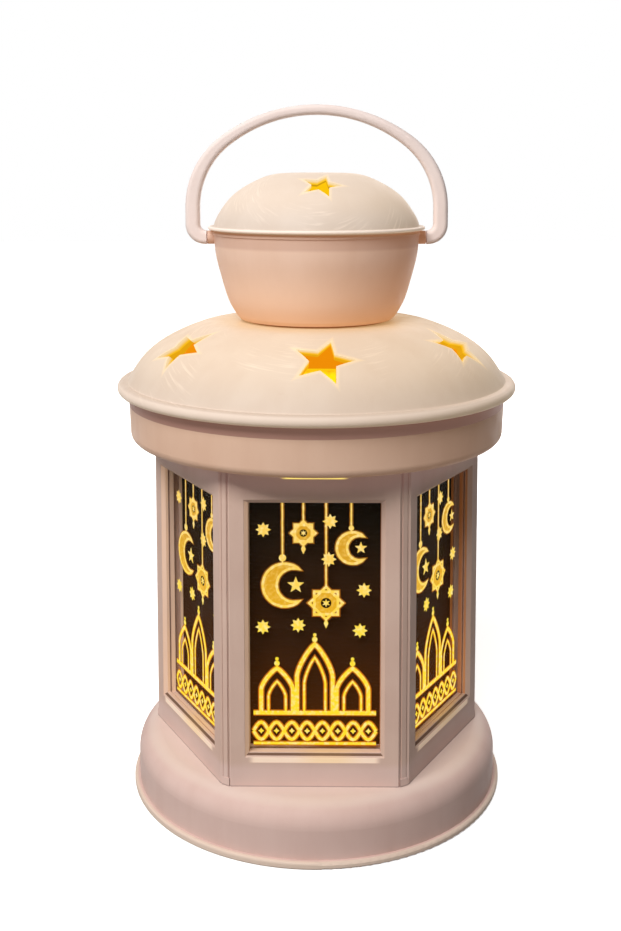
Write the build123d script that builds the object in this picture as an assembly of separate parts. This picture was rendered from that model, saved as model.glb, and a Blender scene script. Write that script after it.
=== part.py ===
from build123d import *
from math import acos, cos, radians, sin, tan
import os

# A table lantern of moulded plastic: round base, six windowed sides, collar, domed roof,
# flared cup with a cap, and a bail handle. Millimetres, +Z up, front towards -Y,
# origin in the middle of the foot.

# Heights above the base
body_height = 97.8
collar_height = 15.5
dome_height = 22.6
cup_height = 29.4
cap_height = 18.9

# Walls and clearances shared by the mouldings
wall = 2.0
edge_round = 0.7
fit_gap = 0.15          # spigot in its socket, pane in its slot
seat_gap = 0.1          # between pieces that only lie side by side
running_gap = 0.06      # radial, pin in its hole
clear_gap = 0.3         # round what moves
cut_over = 1.0          # how far a cut runs past its piece

side_count = 6
side_angle = 360 / side_count
corner_angle = side_angle / 2
corner_sin = sin(radians(corner_angle))
corner_cos = cos(radians(corner_angle))
corner_tan = tan(radians(corner_angle))

# Side frames and their windows
face_inradius = 47.4    # axis to the outer face of a side
plate_thickness = 2.2
reveal_depth = 1.9      # back of the front plate to the pane
reveal_groove = 0.5
reveal_groove_depth = 1.2
sill_lip = 0.3          # sill of the front plate above that of the reveal
rear_rim = 0.8          # behind the pane
corner_gap = 1.7        # edge of a frame to the corner of the six sides
rear_inset = 2.1        # edge of the front plate to the edge of what stands behind it
rear_gap = 0.45         # to the line between two sides
stile_width = 5.9
window_sill = 10.3      # deck to the lower edge of the opening
window_head = 10.7      # upper edge of the opening to the top of the frame
bevel = 1.2
frame_edge = 0.5
notch_width = 21.0
notch_depth = 1.1
peg_radius = 0.8
peg_length = 1.6

# Panes
pane_lap = 1.2          # beyond the opening, each side
pane_thickness = 2.0
pane_top_gap = 0.5

# Corner posts
post_recess = 0.2
post_groove = 0.4
post_groove_depth = 0.9
post_flange = 1.2
post_foot = 2.4

# Liner behind the panes, held by a curb on the deck and a spigot under the collar
liner_wall = 0.8
curb_height = 3.0
curb_wall = 1.5

# Base shell
deck_margin = 12.3      # face of a side to the wall of the base
deck_gap = 0.6          # battery tray to the deck
flange_reach = 1.7
flange_height = 2.2
shoulder_radius = 7.0

# Collar
collar_overhang = 13.6  # beyond the face of a side
collar_flare = 0.7
collar_round = 2.8
web_margin = 3.6        # spigot to the hole in the web

# Roof dome
bead_overhang = 3.6
bead_height = 3.5
dome_step = 3.3         # rim of the bead to the foot of the dome
cup_seat_margin = 3.4
cup_hole_margin = 4.1
dome_spigot = 4.5
dome_shares = [(0, 0), (0.126, 0.335), (0.354, 0.665), (0.677, 0.915), (1, 1)]
dome_foot_slope = (-0.5, 0.866)

# Stars cut through the roof and the cap
star_inner_share = 0.45
star_points = 5
dome_star_radius = 9.5
dome_star_share = 0.47   # along the dome's outline, from its foot
dome_star_turn = 2.0
dome_star_lean = 38.0    # of the cut above the level
dome_star_first = 3.1    # first star, about the axis from the front
cap_star_radius = 6.7
cap_star_share = 0.45
cap_star_turn = 0.5
cap_star_lean = 50.0
cap_star_first = 4.4
cap_star_count = 3
star_cut = 11.0

# Neck cup
cup_foot_radius = 26.1
cup_foot_round = 1.2
cup_foot_gap = 0.6       # shadow line over the roof
cup_neck_inset = 3.0
cup_flare = 7.6
cup_lip_reach = 0.3
cup_lip_height = 1.2
cup_bore_depth = 5.0
cup_spigot = 4.0
cup_shares = [(0, 0), (0.297, 0.142), (0.646, 0.445), (0.9, 0.732), (1, 1)]
cup_foot_slope = (0.55, 0.84)
cup_top_slope = (0.1, 1)

# Top cap
cap_overhang = 1.5
cap_flange_height = 1.5
cap_flange_lift = 0.4    # shadow line over the cup
cap_step = 1.8
cap_spigot = 3.0
cap_shares = [(0, 0), (0.064, 0.276), (0.175, 0.552), (0.415, 0.854), (1, 1)]
cap_foot_slope = (-0.2, 0.98)

# Handle and its lugs
pin_radius = 1.5
lug_wall = 0.64
lug_reach = 1.7          # beyond the lip of the cup
handle_gap = 2.8         # rim of the cap to the inside of an arm
handle_arm = 4.65
handle_rise = 43.2       # pivot to the top of the arch
handle_crown = 3.3       # thickness at the top of the arch
handle_straight = 9.8    # pivot to where the arch begins
arch_side_share = 0.86   # radius where the arch springs, against its rise
handle_depth = 4.8
elbow_outer = 6.5
elbow_inner = 2.2
handle_round = 1.45

# Bottom plate with the battery tray
plate_inset = 1.0
tray_wall = 1.5
cell_count = 3
cell_diameter = 10.5
cell_length = 44.5
cell_gap = 0.5
nub_radius = 1.9
nub_height = 0.8
contact_reach = 1.5
contact_plate = 0.4
contact_side = 7.5
contact_dome = 2.2

# Battery door
door_thickness = 1.6
door_pin_radius = 0.9
door_barrel_radius = 1.3
door_pin_length = 1.2
hinge_pocket = 4.0
hinge_inset = 2.0
hinge_height = 1.5       # above the door's lower face
grip_radius = 5.0
grip_depth = 0.6

# Slide switch
switch_margin = 7.2      # tray to the switch
switch_wall = 1.9
switch_height = 4.6
slider_base_length = 5.6
slider_base_width = 4.0
slider_base_height = 1.4
slider_travel = 3.0
knob_length = 3.4
knob_width = 2.6
knob_inset = 0.4
knob_ribs = 3
knob_rib_depth = 0.25

# Boards, lights and screws
board_thickness = 1.6
ring_half_width = 6.5
ring_drop = 3.2          # deck to the ring board
led_length = 5.0
led_width = 2.4
led_slot_gap = 0.4
lamp_board_radius = 11.5
lamp_board_thickness = 1.2
lamp_hole_gap = 1.5
lamp_radius = 2.5
lamp_height = 6.5
lamp_flange = 0.5
lens_inset = 1.0
lens_height = 12.0
lens_wall = 1.2
boss_radius = 2.8
boss_gap = 0.7           # boss to the wall of the base
screw_radius = 1.1
screw_head_radius = 2.2
screw_head_height = 1.1
screw_length = 8.0
slot_width = 0.6
slot_depth = 0.5
board_boss_radius = 2.2
board_boss_offset = 1.0
board_screw_radius = 0.95
board_screw_head = 1.9
board_screw_grip = 2.2   # how far it runs into its boss

# Battery tray and base, worked out from the cells upwards
plate_top = plate_inset + wall
cell_pitch = cell_diameter + cell_gap
cell_level = plate_inset + door_thickness + clear_gap + cell_diameter / 2
tray_ceiling = cell_level + cell_diameter / 2 + clear_gap
tray_top = tray_ceiling + tray_wall
tray_half_length = cell_length / 2 + contact_reach
tray_half_width = cell_count * cell_pitch / 2 + clear_gap
pocket_end = tray_half_length + hinge_pocket
hinge_place = pocket_end - hinge_inset
hinge_level = plate_inset + hinge_height
pocket_top = hinge_level + door_barrel_radius + 2 * clear_gap
deck_under = tray_top + deck_gap
base_height = deck_under + wall
base_radius = face_inradius + deck_margin
base_inner_radius = base_radius - wall
switch_width = slider_base_width + 2 * clear_gap + switch_wall
switch_length = slider_base_length + slider_travel + 2 * clear_gap + 2 * switch_wall
switch_place = tray_half_width + tray_wall + switch_margin + switch_width / 2
ring_top = deck_under - ring_drop
ring_bottom = ring_top - board_thickness
boss_place = base_inner_radius - boss_gap - boss_radius
screw_pilot = screw_radius + running_gap

# Sides, from the face inwards
frame_half_width = face_inradius * corner_tan - corner_gap
window_half_width = frame_half_width - stile_width
pane_half_width = window_half_width + pane_lap
plate_middle = face_inradius - plate_thickness / 2
plate_back = face_inradius - plate_thickness
reveal_back = plate_back - reveal_depth
pane_front = reveal_back - seat_gap
pane_middle = pane_front - pane_thickness / 2
slot_back = pane_front - pane_thickness - seat_gap
frame_back = slot_back - rear_rim
rear_half_width = frame_half_width - rear_inset
liner_outer = frame_back - seat_gap
liner_inner = liner_outer - liner_wall
peg_place = (window_half_width + bevel + frame_half_width) / 2
board_boss_place = pane_middle + board_boss_offset

# Levels and radii of the roof, cup and cap
body_top = base_height + body_height
collar_top = body_top + collar_height
cup_seat = collar_top + dome_height
cup_rim = cup_seat + cup_height
cap_top = cup_rim + cap_height
collar_foot_radius = face_inradius + collar_overhang
collar_top_radius = collar_foot_radius + collar_flare
bead_radius = collar_top_radius + bead_overhang
dome_foot_radius = bead_radius - dome_step
dome_seat_radius = cup_foot_radius + cup_seat_margin
dome_hole_radius = cup_foot_radius - cup_hole_margin
cup_top_radius = cup_foot_radius + cup_flare
cup_lip_radius = cup_top_radius + cup_lip_reach
cup_bore_radius = cup_top_radius - wall
cap_flange_radius = cup_lip_radius + cap_overhang
cap_foot_radius = cap_flange_radius - cap_step
pin_bore_radius = pin_radius + running_gap
lug_radius = pin_bore_radius + lug_wall
lug_end = cup_lip_radius + lug_reach
pivot_level = cup_rim - lug_radius - seat_gap
handle_inner = cap_flange_radius + handle_gap
handle_outer = handle_inner + handle_arm


def rounded_outline(corners):
    """Closed face from (x, y, radius) corners; a radius of zero leaves a sharp corner."""
    lines = []
    entries = []
    exits = []
    for place, (x, y, radius) in enumerate(corners):
        here = Vector(x, y)
        back = Vector(*corners[place - 1][:2]) - here
        ahead = Vector(*corners[(place + 1) % len(corners)][:2]) - here
        back = back.normalized()
        ahead = ahead.normalized()
        if radius == 0:
            entries.append(here)
            exits.append(here)
            continue
        half = acos(back.dot(ahead)) / 2
        bisector = (back + ahead).normalized()
        entry = here + back * (radius / tan(half))
        leave = here + ahead * (radius / tan(half))
        middle = here + bisector * (radius / sin(half) - radius)
        lines.append(ThreePointArc(entry, middle, leave))
        entries.append(entry)
        exits.append(leave)
    for place, leave in enumerate(exits):
        entry = entries[(place + 1) % len(entries)]
        if (entry - leave).length > 0:
            lines.append(Line(leave, entry))
    return make_face(Curve() + lines)


def turned(outline):
    """Solid of revolution about Z from an outline drawn as (radius, height)."""
    return revolve(Plane.XZ * outline, Axis.Z)


def shared_curve(shares, start, end, tangents):
    """Smooth outline from start to end through points given as shares of its run and rise."""
    run = end[0] - start[0]
    rise = end[1] - start[1]
    points = [(start[0] + run * across, start[1] + rise * up) for across, up in shares]
    return Spline(points, tangents=tangents)


def around(shape, count=side_count, first=0):
    """Copies of a shape set evenly about Z."""
    return [Rot(0, 0, first + place * 360 / count) * shape for place in range(count)]


def upright(outline, low, high):
    """Plan outline raised from one level to another."""
    return extrude(Pos(0, 0, low) * outline, amount=high - low, dir=(0, 0, 1))


def hexagon(inradius):
    """Plan hexagon with its flats to the front and back."""
    return RegularPolygon(inradius / corner_cos, side_count)


def hex_ring(outer, inner, low, high):
    return upright(hexagon(outer) - hexagon(inner), low, high)


def rod(radius, start, end):
    """Round bar along X between two places."""
    return Pos(start, 0, 0) * extrude(Plane.YZ * Circle(radius), amount=end - start)


def on_face(outline, outer, inner):
    """Outline drawn as (across, height) on the front side, between two distances from the axis."""
    return extrude(Plane.XZ.offset(outer) * outline, amount=inner - outer)


def panel(half_width, low, high):
    return Pos(0, (low + high) / 2) * Rectangle(2 * half_width, high - low)


def star_cutter(curve, share, radius, turn, lean):
    """Five-point prism through the front of a turned outline, its axis leaning above the level."""
    place = curve @ share
    tips = []
    for index in range(2 * star_points):
        angle = radians(turn + index * 180 / star_points)
        reach = radius if index % 2 == 0 else radius * star_inner_share
        tips.append((reach * cos(angle), reach * sin(angle)))
    axis = (0, -cos(radians(lean)), sin(radians(lean)))
    stand = Plane(origin=(0, -place.X, place.Y), x_dir=(1, 0, 0), z_dir=axis)
    return extrude(stand * Polygon(*tips, align=None), amount=star_cut, both=True)


def base_shell():
    lamp_hole = lamp_board_radius + lamp_hole_gap
    shell = turned(rounded_outline([
        (base_inner_radius, 0, 0),
        (base_radius + flange_reach, 0, edge_round),
        (base_radius + flange_reach, flange_height, edge_round),
        (base_radius, flange_height, 0),
        (base_radius, base_height, shoulder_radius),
        (lamp_hole, base_height, 0),
        (lamp_hole, deck_under, 0),
        (base_inner_radius, deck_under, shoulder_radius - wall),
    ]))
    curb = liner_inner - fit_gap
    shell += hex_ring(curb, curb - curb_wall, base_height, base_height + curb_height)
    bosses = Pos(boss_place, 0, 0) * upright(Circle(boss_radius), plate_top, deck_under)
    board_bosses = Pos(board_boss_place, 0, 0) * upright(Circle(board_boss_radius), ring_top, deck_under)
    for boss in around(bosses, side_count // 2):
        shell += boss
    for boss in around(board_bosses, side_count // 2, side_angle):
        shell += boss
    pilot = upright(Circle(screw_pilot), plate_top, plate_top + screw_length)
    for hole in around(Pos(boss_place, 0, 0) * pilot, side_count // 2):
        shell -= hole
    pilot = upright(Circle(board_screw_radius + running_gap), ring_top, ring_top + board_screw_grip)
    for hole in around(Pos(board_boss_place, 0, 0) * pilot, side_count // 2, side_angle):
        shell -= hole
    slot = Rectangle(led_length + 2 * led_slot_gap, led_width + 2 * led_slot_gap)
    cut = Pos(0, -pane_middle, 0) * upright(slot, deck_under - cut_over, base_height + cut_over)
    for side in (-peg_place, peg_place):
        hole = upright(Circle(peg_radius + seat_gap), deck_under - cut_over, base_height + cut_over)
        cut += Pos(side, -plate_middle, 0) * hole
    for opening in around(cut):
        shell -= opening
    return shell


def rear_outline():
    """Plan of what stands behind a frame's front plate, clear of its neighbours."""
    bend = (rear_half_width + rear_gap) / corner_tan
    inner = frame_back * corner_tan - rear_gap
    side = [(rear_half_width, -plate_back), (rear_half_width, -bend), (inner, -frame_back)]
    return Polygon(*(side + [(-x, y) for x, y in reversed(side)]), align=None)


def side_frame():
    low = base_height
    high = body_top
    sill = low + window_sill
    head = high - window_head
    opening = panel(window_half_width, sill, head)
    notch_radius = (notch_width ** 2 / 4 + notch_depth ** 2) / (2 * notch_depth)
    notch = Pos(0, high - notch_depth + notch_radius) * Circle(notch_radius)
    plate = on_face(panel(frame_half_width, low, high) - opening, face_inradius, plate_back)
    front = plate.faces().sort_by(Axis.Y)[0]
    rim = [edge for edge in front.edges() if abs(edge.center().X) < window_half_width + seat_gap
           and low + cut_over < edge.center().Z < high - cut_over]
    plate = chamfer(rim, bevel)
    sides = plate.edges().filter_by(Axis.Z)
    sides = [edge for edge in sides if abs(edge.center().X) > frame_half_width - seat_gap]
    plate = chamfer([edge for edge in sides if edge.center().Y < -plate_middle], frame_edge)
    plate -= on_face(notch, face_inradius + cut_over, plate_back - cut_over)
    ledge = sill - sill_lip
    reveal = panel(window_half_width, ledge, head)
    groove = panel(window_half_width + reveal_groove_depth, ledge - reveal_groove_depth,
                   head + reveal_groove_depth)
    slot = panel(pane_half_width + fit_gap, low - cut_over, high + cut_over)
    rear = upright(rear_outline(), low, high)
    rear -= on_face(reveal, plate_back + cut_over, frame_back - cut_over)
    rear -= on_face(groove, plate_back, plate_back - reveal_groove)
    rear -= on_face(slot, reveal_back, slot_back)
    frame = plate + rear
    for side in (-peg_place, peg_place):
        peg = upright(Circle(peg_radius), low - peg_length, low)
        frame += Pos(side, -plate_middle, 0) * peg
    return frame


def window_pane():
    outline = panel(pane_half_width, base_height, body_top - pane_top_gap)
    return on_face(outline, pane_front, pane_front - pane_thickness)


def post_outline(recess, groove):
    """Plan of the post at the front right corner, drawn on one side and mirrored at the corner line."""
    edge = frame_half_width + seat_gap
    reach = frame_half_width * corner_sin + face_inradius * corner_cos - recess
    strip = edge + groove
    groove_floor = face_inradius - post_groove_depth
    tongue = plate_back - seat_gap
    key = rear_half_width + seat_gap
    side = [
        (strip, (reach - strip * corner_sin) / corner_cos),
        (strip, groove_floor),
        (edge, groove_floor),
        (edge, tongue),
        (key, tongue),
        (key, tongue - post_flange),
    ]
    if groove == 0:
        side = side[:1] + side[3:]
    near = [(x, -depth) for x, depth in side]
    far = []
    for x, y in reversed(near):
        along = x * corner_sin - y * corner_cos
        far.append((2 * along * corner_sin - x, -2 * along * corner_cos - y))
    return Polygon(*(near + far), align=None)


def corner_post():
    post = upright(post_outline(post_recess, post_groove), base_height, body_top)
    return post + upright(post_outline(0, 0), base_height, base_height + post_foot)


def inner_liner():
    return hex_ring(liner_outer, liner_inner, base_height, body_top)


def collar():
    spigot = liner_inner - fit_gap
    web_hole = spigot - curb_wall - web_margin
    drum = turned(rounded_outline([
        (web_hole, body_top, 0),
        (collar_foot_radius, body_top, collar_round),
        (collar_top_radius, collar_top, 0),
        (collar_top_radius - wall, collar_top, 0),
        (collar_foot_radius - wall, body_top + wall, edge_round),
        (web_hole, body_top + wall, 0),
    ]))
    return drum + hex_ring(spigot, spigot - curb_wall, body_top - curb_height, body_top)


def roof_dome():
    spigot_outer = collar_top_radius - wall - 2 * fit_gap
    spigot_inner = spigot_outer - wall
    spigot_foot = collar_top - dome_spigot
    bead_top = collar_top + bead_height
    bead_middle = bead_radius - bead_height / 2
    level = (-1, 0)
    outer = shared_curve(dome_shares, (dome_foot_radius, bead_top), (dome_seat_radius, cup_seat),
                         [dome_foot_slope, level])
    inner = shared_curve(dome_shares, (spigot_inner, collar_top), (dome_seat_radius, cup_seat - wall),
                         [dome_foot_slope, level])
    outline = make_face(Curve() + [
        Polyline((spigot_inner, collar_top), (spigot_inner, spigot_foot), (spigot_outer, spigot_foot),
                 (spigot_outer, collar_top), (bead_middle, collar_top)),
        ThreePointArc((bead_middle, collar_top), (bead_radius, collar_top + bead_height / 2),
                      (bead_middle, bead_top)),
        Line((bead_middle, bead_top), (dome_foot_radius, bead_top)),
        outer,
        Polyline((dome_seat_radius, cup_seat), (dome_hole_radius, cup_seat),
                 (dome_hole_radius, cup_seat - wall), (dome_seat_radius, cup_seat - wall)),
        inner,
    ])
    dome = turned(outline)
    star = star_cutter(outer, dome_star_share, dome_star_radius, dome_star_turn, dome_star_lean)
    for cutter in around(star, first=dome_star_first):
        dome -= cutter
    return dome


def neck_cup():
    spigot_outer = dome_hole_radius - fit_gap
    spigot_inner = spigot_outer - wall
    spigot_foot = cup_seat - cup_spigot
    foot_level = cup_seat + cup_foot_gap
    wall_foot = foot_level + cup_foot_round
    neck = cup_foot_radius - cup_neck_inset
    lip_foot = cup_rim - cup_lip_height
    bore_foot = cup_rim - cup_bore_depth
    floor = foot_level + wall
    outer = shared_curve(cup_shares, (cup_foot_radius, wall_foot), (cup_top_radius, lip_foot),
                         [cup_foot_slope, cup_top_slope])
    inner = shared_curve(cup_shares, (cup_foot_radius - wall, floor), (cup_bore_radius, bore_foot),
                         [cup_foot_slope, cup_top_slope])
    outline = make_face(Curve() + [
        Polyline((spigot_inner, floor), (spigot_inner, spigot_foot), (spigot_outer, spigot_foot),
                 (spigot_outer, cup_seat), (neck, cup_seat), (neck, foot_level),
                 (cup_foot_radius - cup_foot_round, foot_level), (cup_foot_radius, wall_foot)),
        outer,
        Polyline((cup_top_radius, lip_foot), (cup_lip_radius, lip_foot),
                 (cup_lip_radius, cup_rim - cup_lip_height / 2),
                 (cup_lip_radius - cup_lip_height / 2, cup_rim), (cup_bore_radius, cup_rim),
                 (cup_bore_radius, bore_foot)),
        inner,
        Line((cup_foot_radius - wall, floor), (spigot_inner, floor)),
    ])
    cup = turned(outline)
    middle = (cup_bore_radius + cup_top_radius) / 2
    for turn in (0, 180):
        cup += Pos(0, 0, pivot_level) * Rot(0, 0, turn) * rod(lug_radius, middle, lug_end)
    bore = rod(pin_bore_radius, cup_bore_radius - cut_over, lug_end + cut_over)
    for turn in (0, 180):
        cup -= Pos(0, 0, pivot_level) * Rot(0, 0, turn) * bore
    return cup


def top_cap():
    spigot_outer = cup_bore_radius - fit_gap
    spigot_inner = spigot_outer - wall
    spigot_foot = cup_rim - cap_spigot
    flange_top = cup_rim + cap_flange_height
    flange_foot = cup_rim + cap_flange_lift
    flange_round = (cap_flange_height - cap_flange_lift) / 2
    rest = cup_bore_radius + wall / 2
    level = (-1, 0)
    outer = shared_curve(cap_shares, (cap_foot_radius, flange_top), (0, cap_top), [cap_foot_slope, level])
    inner = shared_curve(cap_shares, (spigot_inner, flange_top), (0, cap_top - wall), [cap_foot_slope, level])
    outline = make_face(Curve() + [
        Polyline((spigot_inner, flange_top), (spigot_inner, spigot_foot), (spigot_outer, spigot_foot),
                 (spigot_outer, cup_rim), (rest, cup_rim), (rest, flange_foot),
                 (cap_flange_radius - flange_round, flange_foot)),
        ThreePointArc((cap_flange_radius - flange_round, flange_foot),
                      (cap_flange_radius, flange_foot + flange_round),
                      (cap_flange_radius - flange_round, flange_top)),
        Line((cap_flange_radius - flange_round, flange_top), (cap_foot_radius, flange_top)),
        outer,
        Line((0, cap_top), (0, cap_top - wall)),
        inner,
    ])
    cap = turned(outline)
    star = star_cutter(outer, cap_star_share, cap_star_radius, cap_star_turn, cap_star_lean)
    for cutter in around(star, cap_star_count, cap_star_first):
        cap -= cutter
    return cap


def bail_edge(half_width, foot, elbow, rise):
    """One edge of the bail from its right end to its left: leg, arch of three arcs, leg."""
    end_reach = lug_end + clear_gap
    side_radius = rise * arch_side_share
    offset = half_width - side_radius
    crown_radius = (offset ** 2 + rise ** 2 - side_radius ** 2) / (2 * (rise - side_radius))
    side_centre = Vector(offset, handle_straight)
    crown_centre = Vector(0, handle_straight + rise - crown_radius)
    meeting = (side_centre - crown_centre).normalized()
    halfway = (meeting + Vector(1, 0)).normalized()
    elbow_centre = Vector(half_width - elbow, foot + elbow)
    right = [
        Line((end_reach, foot), (half_width - elbow, foot)),
        ThreePointArc((half_width - elbow, foot), elbow_centre + Vector(1, -1).normalized() * elbow,
                      (half_width, foot + elbow)),
        Line((half_width, foot + elbow), (half_width, handle_straight)),
        ThreePointArc((half_width, handle_straight), side_centre + halfway * side_radius,
                      side_centre + meeting * side_radius),
    ]
    spring = side_centre + meeting * side_radius
    crown = ThreePointArc(spring, (0, handle_straight + rise), (-spring.X, spring.Y))
    return right + [crown] + [mirror(edge, Plane.YZ) for edge in right]


def handle():
    arch_rise = handle_rise - handle_straight
    end_reach = lug_end + clear_gap
    outer = bail_edge(handle_outer, -lug_radius, elbow_outer, arch_rise)
    inner = bail_edge(handle_inner, lug_radius, elbow_inner, arch_rise - handle_crown)
    ends = [Line((side * end_reach, -lug_radius), (side * end_reach, lug_radius)) for side in (-1, 1)]
    outline = make_face(Curve() + outer + inner + ends)
    bail = extrude(Plane.XZ * outline, amount=handle_depth / 2, both=True)
    rims = [edge for edge in bail.faces().filter_by(Axis.Y).edges()
            if abs(edge.center().X) > end_reach + seat_gap or edge.center().Z > lug_radius]
    bail = fillet(rims, handle_round)
    pin = rod(pin_radius, cup_bore_radius + fit_gap, end_reach)
    for turn in (0, 180):
        bail += Rot(0, 0, turn) * pin
    return Pos(0, 0, pivot_level) * bail


def tray_outline(margin):
    """Plan of the battery tray's outer walls, with its hinge end towards -X."""
    low = -pocket_end - tray_wall - margin
    high = tray_half_length + tray_wall + margin
    return Pos((low + high) / 2, 0) * Rectangle(high - low, 2 * (tray_half_width + tray_wall + margin))


def in_tray(piece):
    """Turns a piece of the tray, drawn along X, front to back."""
    return Rot(0, 0, 90) * piece


def at_switch(piece):
    """Sets a piece of the switch, drawn along X, beside the tray."""
    return Pos(switch_place, 0, 0) * Rot(0, 0, 90) * piece


def bottom_plate():
    disc = upright(Circle(base_inner_radius - clear_gap), plate_inset, plate_top)
    plate = disc + in_tray(upright(tray_outline(0), plate_inset, tray_top))
    cells = Rectangle(2 * tray_half_length, 2 * tray_half_width)
    bay = upright(cells, plate_inset - cut_over, tray_ceiling)
    pocket_middle = (tray_half_length - pocket_end) / 2
    pocket = Pos(pocket_middle, 0) * Rectangle(tray_half_length + pocket_end, 2 * tray_half_width)
    bay += upright(pocket, plate_inset - cut_over, pocket_top)
    pin_bore = Circle(door_pin_radius + running_gap)
    bore = extrude(Plane.XZ * pin_bore, amount=tray_half_width + tray_wall + cut_over, both=True)
    bay += Pos(-hinge_place, 0, hinge_level) * bore
    plate -= in_tray(bay)
    slot = Rectangle(knob_length + slider_travel + 2 * clear_gap, knob_width + 2 * clear_gap)
    plate -= at_switch(Pos(slider_travel / 2, 0, 0) * upright(slot, 0, plate_top + cut_over))
    through = upright(Circle(screw_radius + clear_gap), 0, plate_top + cut_over)
    sunk = upright(Circle(screw_head_radius + clear_gap), 0, plate_inset + screw_head_height)
    for hole in around(Pos(boss_place, 0, 0) * (through + sunk), side_count // 2):
        plate -= hole
    return plate


def battery_door():
    free_end = tray_half_length - clear_gap
    half_width = tray_half_width - clear_gap
    length = free_end + hinge_place
    leaf = Pos(free_end - length / 2, 0) * Rectangle(length, 2 * half_width)
    door = upright(leaf, plate_inset, plate_inset + door_thickness)
    barrel = extrude(Plane.XZ * Circle(door_barrel_radius), amount=half_width, both=True)
    pins = extrude(Plane.XZ * Circle(door_pin_radius), amount=tray_half_width + door_pin_length, both=True)
    door += Pos(-hinge_place, 0, hinge_level) * (barrel + pins)
    grip = upright(Circle(grip_radius), plate_inset - cut_over, plate_inset + grip_depth)
    return in_tray(door - Pos(free_end - 2 * grip_radius, 0, 0) * grip)


def cell_places():
    return [(place - (cell_count - 1) / 2) * cell_pitch for place in range(cell_count)]


def battery(place):
    """One cell; the nubs point to the back and the front in turn."""
    half = cell_length / 2
    can = rod(cell_diameter / 2, -half, half - nub_height)
    cell = can + rod(nub_radius, half - nub_height, half)
    return in_tray(Pos(0, cell_places()[place], cell_level) * Rot(0, 0, 180 * (place % 2)) * cell)


def battery_contacts():
    """Plates on the end walls of the tray, each with a pressed dome that meets its cell."""
    contacts = []
    dome_rise = contact_reach - contact_plate - seat_gap
    for turn in (0, 180):
        for place in cell_places():
            sheet = Box(contact_plate, contact_side, contact_side)
            sheet = Pos(tray_half_length - contact_plate / 2, 0, 0) * sheet
            dome_end = tray_half_length - contact_plate - dome_rise
            sheet += rod(contact_dome, dome_end, tray_half_length - contact_plate)
            contacts.append(in_tray(Rot(0, 0, turn) * Pos(0, place, cell_level) * sheet))
    return Part() + contacts


def switch_body():
    cavity_length = slider_base_length + slider_travel + 2 * clear_gap
    cavity_width = slider_base_width + 2 * clear_gap
    cavity_top = plate_top + slider_base_height + 2 * clear_gap
    case = upright(Rectangle(switch_length, switch_width), plate_top, plate_top + switch_height)
    case -= upright(Rectangle(cavity_length, cavity_width), plate_top, cavity_top)
    return at_switch(Pos(slider_travel / 2, 0, 0) * case)


def switch_slider():
    foot = plate_top + clear_gap
    slider = upright(Rectangle(slider_base_length, slider_base_width), foot, foot + slider_base_height)
    knob_foot = plate_inset - knob_inset
    slider += upright(Rectangle(knob_length, knob_width), knob_foot, foot)
    step = knob_length / (knob_ribs + 1)
    for rib in range(knob_ribs):
        groove = Box(step / 2, knob_width + cut_over, 2 * knob_rib_depth)
        slider -= Pos((rib + 1) * step - knob_length / 2, 0, knob_foot) * groove
    return at_switch(slider)


def led_ring_board():
    ring = Circle(pane_middle + ring_half_width) - Circle(pane_middle - ring_half_width)
    ring -= in_tray(tray_outline(clear_gap))
    for notch in around(Pos(boss_place, 0) * Circle(boss_radius + clear_gap), side_count // 2):
        ring -= notch
    board = upright(ring, ring_bottom, ring_top)
    hole = upright(Circle(board_screw_radius + fit_gap), ring_bottom - cut_over, ring_top + cut_over)
    for cut in around(Pos(board_boss_place, 0, 0) * hole, side_count // 2, side_angle):
        board -= cut
    return board


def edge_leds():
    """One light under the lower edge of each pane."""
    light = upright(Rectangle(led_length, led_width), ring_top, deck_under + wall / 2)
    light = fillet(light.faces().sort_by(Axis.Z)[-1].edges().filter_by(Axis.X), led_width / 4)
    return Part() + around(Pos(0, -pane_middle, 0) * light)


def screw(head_radius, shank_radius, length, level):
    """Slotted screw driven upwards, with the top of its head at the level given."""
    head = upright(Circle(head_radius), level - screw_head_height, level)
    head -= Pos(0, 0, level - screw_head_height) * Box(2 * head_radius, slot_width, 2 * slot_depth)
    return head + upright(Circle(shank_radius), level, level + length)


def board_screws():
    one = screw(board_screw_head, board_screw_radius, board_thickness + board_screw_grip, ring_bottom)
    return Part() + around(Pos(board_boss_place, 0, 0) * one, side_count // 2, side_angle)


def base_screws():
    level = plate_inset + screw_head_height
    one = screw(screw_head_radius, screw_radius, screw_length, level)
    return Part() + around(Pos(boss_place, 0, 0) * one, side_count // 2)


def lamp_board():
    return upright(Circle(lamp_board_radius), tray_top, tray_top + lamp_board_thickness)


def lamp_led():
    foot = tray_top + lamp_board_thickness
    return turned(rounded_outline([
        (0, foot, 0),
        (lamp_radius + lamp_flange, foot, 0),
        (lamp_radius + lamp_flange, foot + lamp_flange, 0),
        (lamp_radius, foot + lamp_flange, 0),
        (lamp_radius, foot + lamp_height, lamp_radius / 2),
        (0, foot + lamp_height, 0),
    ]))


def lamp_lens():
    foot = tray_top + lamp_board_thickness
    lens_radius = lamp_board_radius - lens_inset
    inner = lens_radius - lens_wall
    crown = lens_radius / 2
    return turned(rounded_outline([
        (inner, foot, 0),
        (lens_radius, foot, 0),
        (lens_radius, foot + lens_height, crown),
        (0, foot + lens_height, 0),
        (0, foot + lens_height - lens_wall, 0),
        (inner, foot + lens_height - lens_wall, crown - lens_wall),
    ]))


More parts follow.
